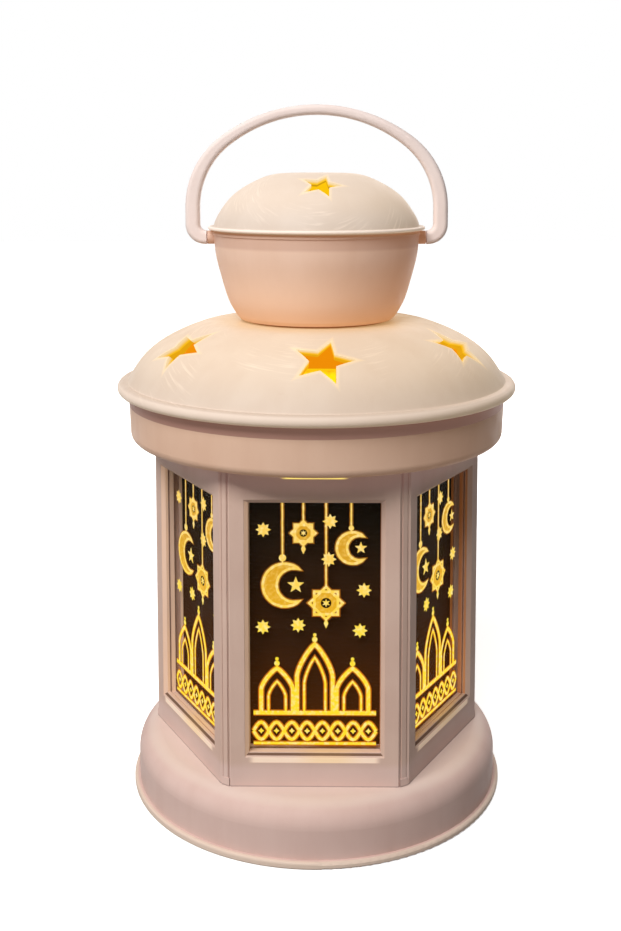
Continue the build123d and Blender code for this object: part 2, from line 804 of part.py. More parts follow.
def assembly():
    """Every piece by its name."""
    pieces = {
        "base_shell": base_shell(),
        "bottom_plate": bottom_plate(),
        "battery_door": battery_door(),
        "battery_contacts": battery_contacts(),
        "switch_body": switch_body(),
        "switch_slider": switch_slider(),
        "led_ring_board": led_ring_board(),
        "edge_leds": edge_leds(),
        "board_screws": board_screws(),
        "base_screws": base_screws(),
        "lamp_board": lamp_board(),
        "lamp_led": lamp_led(),
        "lamp_lens": lamp_lens(),
        "inner_liner": inner_liner(),
        "collar": collar(),
        "roof_dome": roof_dome(),
        "neck_cup": neck_cup(),
        "top_cap": top_cap(),
        "handle": handle(),
    }
    for place in range(cell_count):
        pieces[f"battery_{place + 1}"] = battery(place)
    repeated = {"side_frame": side_frame(), "window_pane": window_pane(), "corner_post": corner_post()}
    for name, piece in repeated.items():
        for place, copy in enumerate(around(piece)):
            pieces[f"{name}_{place + 1}"] = copy
    return pieces


os.makedirs("parts", exist_ok=True)
for node, shape in assembly().items():
    export_step(shape, f"parts/{node}.step")
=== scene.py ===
import bpy
import bmesh
import math
from mathutils import Matrix, Vector
from mathutils.bvhtree import BVHTree


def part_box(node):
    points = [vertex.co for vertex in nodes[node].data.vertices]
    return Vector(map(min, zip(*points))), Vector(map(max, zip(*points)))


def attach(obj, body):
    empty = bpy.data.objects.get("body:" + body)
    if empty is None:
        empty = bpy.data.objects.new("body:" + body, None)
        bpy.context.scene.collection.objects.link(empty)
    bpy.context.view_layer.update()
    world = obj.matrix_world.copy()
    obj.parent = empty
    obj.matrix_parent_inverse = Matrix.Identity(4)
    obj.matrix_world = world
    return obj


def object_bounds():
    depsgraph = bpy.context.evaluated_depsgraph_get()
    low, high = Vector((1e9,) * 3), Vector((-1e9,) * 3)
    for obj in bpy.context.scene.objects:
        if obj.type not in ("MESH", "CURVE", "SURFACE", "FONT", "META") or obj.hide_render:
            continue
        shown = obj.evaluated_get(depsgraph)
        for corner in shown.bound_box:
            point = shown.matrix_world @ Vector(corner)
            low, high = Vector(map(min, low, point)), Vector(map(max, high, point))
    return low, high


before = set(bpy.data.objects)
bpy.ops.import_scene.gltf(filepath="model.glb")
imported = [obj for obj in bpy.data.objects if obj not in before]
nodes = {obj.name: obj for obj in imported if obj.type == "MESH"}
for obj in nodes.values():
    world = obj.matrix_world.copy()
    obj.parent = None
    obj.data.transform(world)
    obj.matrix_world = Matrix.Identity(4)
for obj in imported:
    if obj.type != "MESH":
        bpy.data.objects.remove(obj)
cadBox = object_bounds()
scene = bpy.context.scene
scene.view_settings.view_transform = "Standard"
mm = 0.001
sides = 6
sideStep = 2 * math.pi / sides
upwards = math.pi / 2
black = (0.0, 0.0, 0.0, 1.0)
white = (1.0, 1.0, 1.0, 1.0)
print("frame loaded,", len(nodes), "nodes")


# colours are written as they look on screen
def paint(red, green, blue):
    def straight(value):
        value = value / 255
        return value / 12.92 if value <= 0.04045 else ((value + 0.055) / 1.055) ** 2.4
    return straight(red), straight(green), straight(blue), 1.0


# a socket in an expression: each operator adds one Math node
class Sock:
    def __init__(self, finish, socket):
        self.finish = finish
        self.socket = socket

    def maths(self, operation, first, second=0.0):
        return self.finish.node("ShaderNodeMath", {"operation": operation}, {0: first, 1: second})

    def __add__(self, other):
        return self.maths("ADD", self, other)

    def __sub__(self, other):
        return self.maths("SUBTRACT", self, other)

    def __rsub__(self, other):
        return self.maths("SUBTRACT", other, self)

    def __mul__(self, other):
        return self.maths("MULTIPLY", self, other)

    def __truediv__(self, other):
        return self.maths("DIVIDE", self, other)

    def __pow__(self, other):
        return self.maths("POWER", self, other)

    def __neg__(self):
        return self.maths("MULTIPLY", self, -1.0)

    def __abs__(self):
        return self.maths("ABSOLUTE", self)

    def larger(self, other):
        return self.maths("MAXIMUM", self, other)

    def bearing(self, other):
        return self.maths("ARCTAN2", self, other)

    def nearest(self):
        return self.maths("ROUND", self)

    def sine(self):
        return self.maths("SINE", self)

    def cosine(self):
        return self.maths("COSINE", self)

    # what an angle is beyond the nearest whole number of steps
    def folded(self, step):
        return self - (self / step).nearest() * step

    # 0 below low, 1 above high, smooth between; low may be the larger
    def rise(self, low, high):
        return self.finish.node("ShaderNodeMapRange", {"interpolation_type": "SMOOTHSTEP"},
                                {0: self, 1: low, 2: high})

    # 1 within half a width of a level, soft at its edges
    def band(self, level, half, soft):
        return abs(self - level).rise(half + soft, half)

    __radd__ = __add__
    __rmul__ = __mul__


# one material and its nodes
class Finish:
    def __init__(self, name, tree=None):
        if tree is None:
            self.material = bpy.data.materials.new(name)
            self.material.use_nodes = True
            tree = self.material.node_tree
        self.tree = tree
        self.tree.nodes.clear()

    def node(self, kind, settings=None, sockets=None, out=0):
        made = self.tree.nodes.new(kind)
        for key, value in (settings or {}).items():
            setattr(made, key, value)
        for key, value in (sockets or {}).items():
            if isinstance(value, Sock):
                self.tree.links.new(value.socket, made.inputs[key])
            else:
                made.inputs[key].default_value = value
        return Sock(self, made.outputs[out]) if len(made.outputs) else None

    def mix(self, share, first, second):
        return self.node("ShaderNodeMix", {"data_type": "RGBA"}, {0: share, 6: first, 7: second}, out=2)

    def stretched(self, place, scale):
        return self.node("ShaderNodeVectorMath", {"operation": "MULTIPLY"}, {0: place, 1: scale})

    def coordinates(self, out="Object"):
        return self.node("ShaderNodeTexCoord", out=out)

    def split(self, vector):
        made = self.node("ShaderNodeSeparateXYZ", sockets={0: vector})
        outputs = made.socket.node.outputs
        return [Sock(self, outputs[index]) for index in range(3)]

    # size is how large one blot is, in metres
    def noise(self, place, size, detail=2.0, rough=0.5):
        return self.node("ShaderNodeTexNoise", {},
                         {"Vector": place, "Scale": 1 / size, "Detail": detail, "Roughness": rough})

    def bump(self, height, distance, under=None):
        sockets = {"Height": height, "Distance": distance, "Strength": 1.0}
        if under is not None:
            sockets["Normal"] = under
        return self.node("ShaderNodeBump", {}, sockets)

    def shader(self, sockets):
        surface = self.node("ShaderNodeBsdfPrincipled", {}, sockets)
        self.node("ShaderNodeOutputMaterial", {}, {"Surface": surface})
        return self.material

    # place about the lantern's axis, and across and out from the middle of the nearest side
    def about(self, place):
        x, y, self.height = self.split(place)
        self.radius = (x * x + y * y) ** 0.5
        self.turn = x.bearing(-y)
        fold = self.turn.folded(sideStep)
        self.across = self.radius * fold.sine()
        self.out = self.radius * fold.cosine()


# levels and radii that the finishes follow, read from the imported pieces
def top(node):
    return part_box(node)[1].z


def foot(node):
    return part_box(node)[0].z


def reach(node):
    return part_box(node)[1].x


def front(node):
    return -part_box(node)[0].y


# how far pieces sit in one another, and the rails, plate and bevel round a window
seat = {"framePeg": 1.6 * mm, "cupSpigot": 4.0 * mm, "sillRail": 10.0 * mm, "headRail": 10.7 * mm,
        "plate": 2.2 * mm, "bevel": 1.2 * mm, "windowHalf": 19.77 * mm}
deckLevel = foot("side_frame_3") + seat["framePeg"]
bodyTop = top("side_frame_1")
collarTop = top("collar")
collarReach = reach("collar")
roofReach = reach("roof_dome")
cupSeat = foot("neck_cup") + seat["cupSpigot"]
cupRim = top("neck_cup")
capReach = reach("top_cap")
faceDepth = front("side_frame_1")
linerOut = front("inner_liner")
paneFront = front("window_pane_1")
paneTop = top("window_pane_1")
windowHalf = seat["windowHalf"]
sillLevel = deckLevel + seat["sillRail"]
headLevel = bodyTop - seat["headRail"]


# moulded plastic: mottled colour, faint flow lines, fine grain, handled gloss
plastic = {
    "blot": 22 * mm, "blotRange": (0.35, 0.68), "blotShare": 0.5,
    "flow": 9 * mm, "flowStretch": (1.0, 1.0, 0.16), "flowRange": (0.38, 0.7), "flowShare": 0.35,
    "speck": 1.6 * mm, "speckRange": (0.7, 0.76), "speckShare": 0.18,
    "smudge": 7 * mm, "smudgeRange": (0.36, 0.66), "roughLow": 0.34, "roughHigh": 0.5,
    "grain": 0.42 * mm, "grainDepth": 0.003 * mm, "wave": 14 * mm, "waveDepth": 0.05 * mm,
    "specular": 0.06, "leastRadius": 0.1 * mm,
}
levelFace = (0.7, 0.95)  # how far up a face looks where it counts as level


class Plastic(Finish):
    def __init__(self, name, look):
        super().__init__(name)
        self.place = self.coordinates()
        self.facing = self.coordinates("Normal")
        self.about(self.place)
        blots = self.noise(self.place, plastic["blot"], detail=3.0).rise(*plastic["blotRange"])
        drawn = self.stretched(self.place, plastic["flowStretch"])
        flow = self.noise(drawn, plastic["flow"], detail=4.0, rough=0.6).rise(*plastic["flowRange"])
        specks = self.noise(self.place, plastic["speck"], detail=1.0).rise(*plastic["speckRange"])
        worn = blots * plastic["blotShare"] + flow * plastic["flowShare"] + specks * plastic["speckShare"]
        self.colour = self.mix(worn, look["colour"], look["shade"])
        smudges = self.noise(self.place, plastic["smudge"], detail=4.0, rough=0.62)
        span = plastic["roughHigh"] - plastic["roughLow"]
        self.roughness = plastic["roughLow"] + smudges.rise(*plastic["smudgeRange"]) * span
        grain = self.noise(self.place, plastic["grain"])
        wave = self.noise(self.place, plastic["wave"], detail=1.0)
        self.normal = self.bump(grain, plastic["grainDepth"], self.bump(wave, plastic["waveDepth"]))
        self.glow = None

    def tint(self, share, colour):
        self.colour = self.mix(share, self.colour, colour)

    def lit(self, share, colour):
        self.glow = self.mix(share, black if self.glow is None else self.glow, colour)

    # how far a face looks out along a line that leans above the level
    def outlook(self, lean):
        x, y = self.split(self.place)[:2]
        nx, ny, nz = self.split(self.facing)
        outwards = (x * nx + y * ny) / self.radius.larger(plastic["leastRadius"])
        return outwards * math.cos(lean) + nz * math.sin(lean)

    def done(self):
        sockets = {"Base Color": self.colour, "Roughness": self.roughness, "Normal": self.normal,
                   "Specular IOR Level": plastic["specular"]}
        if self.glow is not None:
            sockets["Emission Color"] = self.glow
            sockets["Emission Strength"] = 1.0
        return self.shader(sockets)


body = {
    "colour": paint(220, 193, 186), "shade": paint(211, 181, 173),
    "foot": paint(228, 210, 194), "footShare": 0.75,
    "footReach": (60.2 * mm, 60.5 * mm), "footHeight": (3.0 * mm, 2.3 * mm),
    "deck": paint(230, 214, 204), "deckShare": 0.5, "deckHeight": (deckLevel - 6 * mm, deckLevel - 2 * mm),
    "lampLit": paint(240, 150, 20), "litReach": (linerOut, linerOut - 1 * mm),
    "litHeight": (deckLevel - 2 * mm, deckLevel - 1 * mm),
}


# paler foot, painted light on the level top of the deck, painted lamplight within the liner
def bodyFinish():
    finish = Plastic("bodyPlastic", body)
    onFoot = finish.radius.rise(*body["footReach"]) * finish.height.rise(*body["footHeight"])
    finish.tint(onFoot * body["footShare"], body["foot"])
    onDeck = finish.outlook(upwards).rise(*levelFace) * finish.height.rise(*body["deckHeight"])
    finish.tint(onDeck * body["deckShare"], body["deck"])
    inside = finish.radius.rise(*body["litReach"]) * finish.height.rise(*body["litHeight"])
    finish.lit(inside, body["lampLit"])
    return finish.done()


collarLook = {
    "colour": paint(216, 187, 168), "shade": paint(207, 175, 155), "glow": paint(62, 34, 8),
    "shadow": paint(151, 117, 107), "shadowGlow": paint(89, 65, 56),
    "shadowHeight": (collarTop - 3.95 * mm, collarTop - 3.75 * mm),
    "amber": paint(255, 206, 14), "amberShare": 0.95,
    "amberReach": (collarReach - 2.2 * mm, collarReach - 2.4 * mm),
    "amberHeight": (bodyTop + 1.0 * mm, bodyTop + 1.4 * mm),
}


# painted warm glow over the wall, a painted shadow band under the roof's bead, painted amber lamplight within
def collarFinish():
    finish = Plastic("collarPlastic", collarLook)
    finish.lit(1.0, collarLook["glow"])
    shadow = finish.height.rise(*collarLook["shadowHeight"])
    finish.tint(shadow, collarLook["shadow"])
    finish.lit(shadow, collarLook["shadowGlow"])
    inside = finish.radius.rise(*collarLook["amberReach"])
    inside = inside * finish.height.rise(*collarLook["amberHeight"])
    finish.lit(inside * collarLook["amberShare"], collarLook["amber"])
    return finish.done()


sillLook = {
    "half": 0.8 * mm, "soft": 1.2 * mm, "face": (0.15, 0.5),
    "spotAt": 4 * mm, "spotWidth": (12 * mm, 2 * mm), "warm": paint(220, 186, 140), "warmShare": 0.5,
    "glow": paint(250, 196, 92), "glowShare": 0.05,
    "gapShadow": paint(96, 66, 48), "gapShare": 0.9,
    "gapDepth": 0.75 * mm, "gapHalf": 0.22 * mm, "gapSoft": 0.16 * mm,
    "edge": paint(232, 214, 200), "edgeWarm": paint(236, 206, 150), "edgeWarmShare": 0.6,
    "edgeGlow": paint(135, 113, 91), "edgeFoot": (sillLevel - 2.6 * mm, sillLevel - 2.3 * mm),
    "edgeTop": (sillLevel - 0.8 * mm, sillLevel - 0.9 * mm), "edgeDepth": (0.12 * mm, 0.06 * mm),
    "edgeEnd": (windowHalf + 0.4 * mm, windowHalf - 2 * mm),
}


# ledge with a painted warm spot of lamplight, a painted shadow in the gap along its front and a painted
# highlight on the rail's edge under it
def lightSill(finish, depth, level):
    ledge = finish.height.band(sillLevel, sillLook["half"], sillLook["soft"]) * level.rise(*sillLook["face"])
    spot = abs(finish.across - sillLook["spotAt"]).rise(*sillLook["spotWidth"])
    finish.tint(ledge * spot * sillLook["warmShare"], sillLook["warm"])
    finish.lit(ledge * spot * sillLook["glowShare"], sillLook["glow"])
    gapShadow = ledge * depth.band(sillLook["gapDepth"], sillLook["gapHalf"], sillLook["gapSoft"])
    finish.tint(gapShadow * sillLook["gapShare"], sillLook["gapShadow"])
    edge = finish.height.rise(*sillLook["edgeFoot"]) * finish.height.rise(*sillLook["edgeTop"])
    edge = edge * depth.rise(*sillLook["edgeDepth"]) * abs(finish.across).rise(*sillLook["edgeEnd"])
    finish.tint(edge, sillLook["edge"])
    finish.tint(edge * spot * sillLook["edgeWarmShare"], sillLook["edgeWarm"])
    finish.lit(edge, sillLook["edgeGlow"])


revealLook = {
    "jamb": paint(168, 92, 16), "jambShare": 0.7, "jambGlow": 0.4, "spill": paint(150, 122, 92),
    "sideFace": (0.6, 0.3), "rightOf": (-2 * mm, 2 * mm),
    "fadeHeight": (headLevel, sillLevel + 10 * mm), "fadeSpan": 0.5, "fadeLeast": 0.3,
    "depth": (seat["plate"] - 0.3 * mm, seat["plate"] + 1.2 * mm),
    "width": (windowHalf + 0.4 * mm, windowHalf + 0.2 * mm),
    "foot": (sillLevel - 1 * mm, sillLevel), "top": (headLevel + 0.4 * mm, headLevel + 0.2 * mm),
    "rimGlow": 0.58, "rimFront": (0.05 * mm, 0.2 * mm), "rimBack": (seat["plate"], seat["plate"] - 0.3 * mm),
    "rimWidth": (windowHalf + seat["bevel"] + 0.2 * mm, windowHalf + seat["bevel"]),
    "rimFoot": (sillLevel - seat["bevel"], sillLevel), "rimTop": (headLevel + seat["bevel"], headLevel),
    "plateDepth": (seat["bevel"], seat["bevel"] + 0.15 * mm), "plateShare": 0.6, "plateGlow": 0.3,
}


# sides of the window: brown lamplight on the right-hand ones, a pale spill on the left-hand ones
def lightReveals(finish, depth, level):
    aside = abs(finish.across)
    upright = abs(level).rise(*revealLook["sideFace"])
    within = aside.rise(*revealLook["width"]) * finish.height.rise(*revealLook["foot"])
    within = within * finish.height.rise(*revealLook["top"])
    reveal = depth.rise(*revealLook["depth"]) * within * upright
    fade = finish.height.rise(*revealLook["fadeHeight"]) * revealLook["fadeSpan"] + revealLook["fadeLeast"]
    right = finish.across.rise(*revealLook["rightOf"])
    left = 1.0 - right
    finish.tint(reveal * right * revealLook["jambShare"], revealLook["jamb"])
    finish.lit(reveal * right * fade * revealLook["jambGlow"], revealLook["jamb"])
    finish.lit(reveal * left * fade, revealLook["spill"])
    rim = depth.rise(*revealLook["rimFront"]) * depth.rise(*revealLook["rimBack"]) * upright
    rim = rim * finish.height.rise(*revealLook["rimFoot"]) * finish.height.rise(*revealLook["rimTop"])
    rim = rim * aside.rise(*revealLook["rimWidth"])
    finish.lit(rim * left * revealLook["rimGlow"], revealLook["spill"])
    plateEdge = rim * right * depth.rise(*revealLook["plateDepth"])
    finish.tint(plateEdge * revealLook["plateShare"], revealLook["jamb"])
    finish.lit(plateEdge * fade * revealLook["plateGlow"], revealLook["jamb"])


frameLook = {
    "colour": paint(216, 189, 176), "shade": paint(207, 177, 164),
    "jointShadow": paint(78, 58, 48), "jointShare": 0.85,
    "jointHeight": (deckLevel + 0.4 * mm, deckLevel + 0.2 * mm),
    "railLow": paint(228, 203, 199), "railLowShare": 0.5,
    "railLowHeight": (sillLevel - 2 * mm, sillLevel - 5 * mm),
    "railHigh": paint(56, 40, 42), "railHighHeight": (headLevel + 1 * mm, headLevel + 6 * mm),
    "leak": paint(255, 226, 96), "leakLevel": bodyTop - 2.9 * mm, "leakHalf": 0.25 * mm, "leakSoft": 0.2 * mm,
    "leakWidth": (10.5 * mm, 7.5 * mm), "leakDepth": (0.3 * mm, 0.1 * mm), "leakFace": (0.4, 0.2),
}


# a painted shadow line at the joint with the deck, painted light on the lower rail, painted bounce light on
# the upper rail, painted light on the sill and the reveals, and a painted light leak under the collar
def frameFinish():
    finish = Plastic("framePlastic", frameLook)
    level = finish.outlook(upwards)
    depth = faceDepth - finish.out
    jointShadow = finish.height.rise(*frameLook["jointHeight"])
    finish.tint(jointShadow * frameLook["jointShare"], frameLook["jointShadow"])
    railLow = finish.height.rise(*frameLook["railLowHeight"])
    finish.tint(railLow * frameLook["railLowShare"], frameLook["railLow"])
    finish.lit(finish.height.rise(*frameLook["railHighHeight"]), frameLook["railHigh"])
    lightSill(finish, depth, level)
    lightReveals(finish, depth, level)
    leak = finish.height.band(frameLook["leakLevel"], frameLook["leakHalf"], frameLook["leakSoft"])
    leak = leak * abs(level).rise(*frameLook["leakFace"]) * abs(finish.across).rise(*frameLook["leakWidth"])
    finish.lit(leak * depth.rise(*frameLook["leakDepth"]), frameLook["leak"])
    return finish.done()


# pale streaks painted as sheen on the plastic, drawn in arcs, in patches
sheenStreaks = {"sweep": 5 * mm, "slant": 0.7, "bend": 45 * mm, "width": 1.1 * mm, "range": (0.5, 0.72),
            "patch": 24 * mm, "patchRange": (0.51, 0.66), "share": 0.22}


def drawSheen(finish, colour):
    down = finish.radius - finish.height * sheenStreaks["slant"] - finish.turn.cosine() * sheenStreaks["bend"]
    arcs = finish.node("ShaderNodeCombineXYZ", {}, {0: finish.turn * sheenStreaks["sweep"], 1: down})
    marks = finish.noise(arcs, sheenStreaks["width"]).rise(*sheenStreaks["range"])
    patches = finish.noise(finish.place, sheenStreaks["patch"], detail=1.0).rise(*sheenStreaks["patchRange"])
    finish.tint(marks * patches * sheenStreaks["share"], colour)


# stars cut through lit plastic: depths as shares of the wall, and how far the faces of a cut look out
starCuts = {"points": 5, "hollow": 0.45, "haloShare": 0.35, "rimDepth": (0.1, 0.85), "edgeDepth": (0.9, 0.98),
            "wallFace": (0.42, 0.3), "innerFace": (-0.2, -0.45), "skinSteps": (-0.9, -0.3, 0.3, 0.9)}


# distance from the edge of the nearest star, square to its cut: below zero within the star
def starEdge(finish, star):
    fold = (finish.turn - star["first"]).folded(2 * math.pi / star["count"])
    across = finish.radius * fold.sine()
    inwards = star["radius"] - finish.radius * fold.cosine()
    rising = finish.height - star["height"]
    up = inwards * math.sin(star["lean"]) + rising * math.cos(star["lean"])
    half = math.pi / starCuts["points"]
    bearing = abs((up.bearing(across) - star["turn"]).folded(2 * half))
    length = (across * across + up * up) ** 0.5
    along = length * bearing.cosine() - star["tip"]
    hollow = starCuts["hollow"]
    square = Vector((hollow * math.sin(half), 1 - hollow * math.cos(half))).normalized()
    return along * square.x + length * bearing.sine() * square.y


# height of a piece's outer skin, felt from above midway between two stars:
# a cubic of the distance out from a star's middle, in lengths of its tip
def skinCubic(node, star):
    data = nodes[node].data
    faces = [tuple(face.vertices) for face in data.polygons]
    skin = BVHTree.FromPolygons([vertex.co for vertex in data.vertices], faces)
    turn = star["first"] + math.pi / star["count"]
    powers, levels = [], []
    for step in starCuts["skinSteps"]:
        radius = star["radius"] + step * star["tip"]
        above = Vector((radius * math.sin(turn), -radius * math.cos(turn), cadBox[1][2]))
        powers.append((step ** 3, step ** 2, step, 1.0))
        levels.append(skin.ray_cast(above, Vector((0, 0, -1)))[0].z)
    return Matrix(powers).inverted() @ Vector(levels)


# depth under that skin, square to it
def skinDepth(finish, star, cubic):
    step = (finish.radius - star["radius"]) / star["tip"]
    level = ((step * cubic[0] + cubic[1]) * step + cubic[2]) * step + cubic[3]
    slope = ((step * (3 * cubic[0]) + 2 * cubic[1]) * step + cubic[2]) / star["tip"]
    return (level - finish.height) / (slope * slope + 1.0) ** 0.5


# a painted halo of light round each star, a faint painted glow, and painted yellow lamplight on the walls of
# the cuts and on the inside behind them
def cutStars(finish, node, look, inside):
    star = look["star"]
    within = finish.radius.rise(*look["rim"])
    halo = starEdge(finish, star).rise(look["haloWidth"], 0.0) * within
    finish.tint(halo * starCuts["haloShare"], look["halo"])
    glow = finish.height.rise(*look["glowHeight"]) * (1.0 - look["glowLeast"]) + look["glowLeast"]
    finish.lit(glow, look["glow"])
    deep = skinDepth(finish, star, skinCubic(node, star)) / look["wall"]
    cut = finish.mix(deep.rise(*starCuts["rimDepth"]), look["cutRim"], look["cutWall"])
    cut = finish.mix(deep.rise(*starCuts["edgeDepth"]), cut, look["cutEdge"])
    outlook = finish.outlook(star["lean"])
    wall = outlook.rise(*starCuts["wallFace"]) * within
    inner = outlook.rise(*starCuts["innerFace"]) * within
    finish.lit(wall, cut)
    finish.lit(inner, inside)
    finish.tint(wall, black)
    finish.tint(inner, black)


roof = {
    "colour": paint(194, 183, 177), "shade": paint(186, 172, 165), "streak": paint(250, 240, 230),
    "bead": paint(226, 212, 206), "beadShare": 0.45, "beadTopShade": paint(186, 172, 166), "beadTopShare": 0.65,
    "beadReach": (roofReach - 3.6 * mm, roofReach - 3.2 * mm),
    "ring": paint(180, 158, 130), "ringShare": 0.6, "ringReach": (37 * mm, 27 * mm),
    "glow": paint(152, 126, 85), "glowHeight": (collarTop, cupSeat - 4 * mm), "glowLeast": 0.48,
    "halo": paint(250, 222, 168), "haloWidth": 1.4 * mm, "rim": (60.4 * mm, 59.9 * mm), "wall": 2.0 * mm,
    "cutRim": paint(246, 216, 168), "cutWall": paint(248, 188, 26), "cutEdge": paint(230, 164, 18),
    "amber": paint(240, 142, 8), "yellow": paint(252, 204, 16),
    "yellowHeight": (collarTop - 3.6 * mm, collarTop - 3.9 * mm),
    "star": {"count": 6, "first": math.radians(3.1), "lean": math.radians(38), "turn": math.radians(2),
             "tip": 9.5 * mm, "radius": 49.42 * mm, "height": 147.92 * mm},
}


# a paler bead with painted shade on its level top, painted shade in a ring round the cup's foot, painted
# sheen streaks, and stars with painted amber and yellow lamplight within
def roofFinish():
    finish = Plastic("roofPlastic", roof)
    onBead = finish.radius.rise(*roof["beadReach"])
    finish.tint(onBead * roof["beadShare"], roof["bead"])
    finish.tint(onBead * finish.outlook(upwards).rise(*levelFace) * roof["beadTopShare"], roof["beadTopShade"])
    finish.tint(finish.radius.rise(*roof["ringReach"]) * roof["ringShare"], roof["ring"])
    drawSheen(finish, roof["streak"])
    inside = finish.mix(finish.height.rise(*roof["yellowHeight"]), roof["amber"], roof["yellow"])
    cutStars(finish, "roof_dome", roof, inside)
    return finish.done()


cap = {
    "colour": paint(191, 183, 180), "shade": paint(183, 173, 168), "streak": paint(250, 242, 236),
    "flange": paint(240, 228, 224), "flangeShare": 0.8,
    "flangeReach": (capReach - 1.0 * mm, capReach - 0.4 * mm),
    "glow": paint(156, 133, 103), "glowHeight": (cupRim, cupRim + 12 * mm), "glowLeast": 0.6,
    "halo": paint(250, 226, 178), "haloWidth": 1.2 * mm, "rim": (capReach - 3.4 * mm, capReach - 3.8 * mm),
    "wall": 2.0 * mm, "cutRim": paint(248, 222, 178), "cutWall": paint(250, 198, 30),
    "cutEdge": paint(206, 150, 20), "yellow": paint(250, 196, 14),
    "star": {"count": 3, "first": math.radians(4.4), "lean": math.radians(50), "turn": math.radians(0.5),
             "tip": 6.7 * mm, "radius": 21.99 * mm, "height": 198.3 * mm},
}


# a paler flange, painted sheen streaks, and stars with painted yellow lamplight within
def capFinish():
    finish = Plastic("capPlastic", cap)
    finish.tint(finish.radius.rise(*cap["flangeReach"]) * cap["flangeShare"], cap["flange"])
    drawSheen(finish, cap["streak"])
    cutStars(finish, "top_cap", cap, cap["yellow"])
    return finish.done()


cup = {
    "colour": paint(220, 199, 185), "shade": paint(212, 189, 173),
    "warm": paint(224, 200, 175), "warmShare": 0.6, "warmHeight": (cupRim - 4 * mm, cupSeat + 2 * mm),
    "band": paint(140, 104, 96), "bandShare": 0.3, "bandHeight": (cupRim - 5.4 * mm, cupRim - 4.2 * mm),
    "glow": paint(128, 72, 34), "glowLeast": 0.6,
    "jointShadow": paint(120, 62, 44), "jointGlow": paint(60, 22, 8), "jointShare": 0.8,
    "jointHeight": (cupSeat + 0.9 * mm, cupSeat + 0.4 * mm),
    "amber": paint(240, 142, 6), "wallFace": (-0.1, -0.4),
    "floorFace": (0.5, 0.8), "floorHeight": (cupRim - 8 * mm, cupRim - 10 * mm),
    "spigotHeight": (cupSeat + 0.1 * mm, cupSeat - 0.1 * mm),
}


# painted warm light and glow towards its foot, a painted shadow band under its rim, a painted shadow line at
# the joint with the roof, painted amber lamplight within
def cupFinish():
    finish = Plastic("cupPlastic", cup)
    low = finish.height.rise(*cup["warmHeight"])
    finish.tint(low * cup["warmShare"], cup["warm"])
    finish.tint(finish.height.rise(*cup["bandHeight"]) * cup["bandShare"], cup["band"])
    finish.lit(low * (1.0 - cup["glowLeast"]) + cup["glowLeast"], cup["glow"])
    jointShadow = finish.height.rise(*cup["jointHeight"]) * cup["jointShare"]
    finish.tint(jointShadow, cup["jointShadow"])
    finish.lit(jointShadow, cup["jointGlow"])
    wall = finish.outlook(0.0).rise(*cup["wallFace"])
    floor = finish.outlook(upwards).rise(*cup["floorFace"]) * finish.height.rise(*cup["floorHeight"])
    spigot = finish.height.rise(*cup["spigotHeight"])
    finish.lit(wall.larger(floor).larger(spigot), cup["amber"])
    return finish.done()


handleLook = {"colour": paint(240, 226, 223), "shade": paint(232, 215, 211)}


def handleFinish():
    return Plastic("handlePlastic", handleLook).done()


pane = {
    "colour": paint(46, 32, 18), "clear": 0.05, "film": 0.06, "rough": 0.06, "filmRough": 0.1,
    "specular": 0.14, "streak": 6 * mm, "streakStretch": (1.0, 1.0, 0.1), "streakRange": (0.4, 0.8),
    "lowGlow": paint(130, 70, 8), "lowShare": 0.5, "lowHeight": (sillLevel + 34 * mm, sillLevel - 4 * mm),
    "edgeGlow": paint(255, 222, 90), "edgeHeight": (paneTop - 1.2 * mm, paneTop - 1.0 * mm),
}


# clear pane, lit towards its foot and along its upper edge, seen against the dark liner
def paneFinish():
    finish = Finish("paneAcrylic")
    place = finish.coordinates()
    height = finish.split(place)[2]
    drawn = finish.stretched(place, pane["streakStretch"])
    streaks = finish.noise(drawn, pane["streak"], detail=3.0).rise(*pane["streakRange"])
    glow = finish.mix(height.rise(*pane["lowHeight"]) * pane["lowShare"], black, pane["lowGlow"])
    glow = finish.mix(height.rise(*pane["edgeHeight"]), glow, pane["edgeGlow"])
    return finish.shader({
        "Base Color": pane["colour"], "Roughness": pane["rough"] + streaks * pane["filmRough"],
        "Specular IOR Level": pane["specular"], "Alpha": pane["clear"] + streaks * pane["film"],
        "Emission Color": glow, "Emission Strength": 1.0})


liner = {
    "low": paint(48, 24, 8), "high": paint(22, 17, 11), "specular": 0.05,
    "glowLow": paint(46, 22, 4), "glowHigh": paint(9, 6, 3),
    "cloud": 16 * mm, "cloudMiddle": 0.5, "cloudShare": 0.4, "rough": 0.6, "cloudRough": 0.2,
    "rib": 1.2 * mm, "ribDepth": 0.02 * mm,
    "lampLit": paint(236, 148, 18), "litDepth": (linerOut - 0.3 * mm, linerOut - 0.6 * mm),
}


# dark film, browner towards its foot, with a painted brown glow of the lights at its foot, and painted
# lamplight on its inner side
def linerFinish():
    finish = Finish("linerFilm")
    place = finish.coordinates()
    finish.about(place)
    cloud = finish.noise(place, liner["cloud"], detail=3.0)
    level = finish.height.rise(sillLevel, headLevel) + (cloud - liner["cloudMiddle"]) * liner["cloudShare"]
    ribs = (finish.height * (2 * math.pi / liner["rib"])).sine()
    inside = finish.out.rise(*liner["litDepth"])
    glow = finish.mix(inside, finish.mix(level, liner["glowLow"], liner["glowHigh"]), liner["lampLit"])
    return finish.shader({
        "Base Color": finish.mix(level, liner["low"], liner["high"]),
        "Roughness": liner["rough"] + cloud * liner["cloudRough"], "Specular IOR Level": liner["specular"],
        "Emission Color": glow, "Emission Strength": 1.0, "Normal": finish.bump(ribs, liner["ribDepth"])})


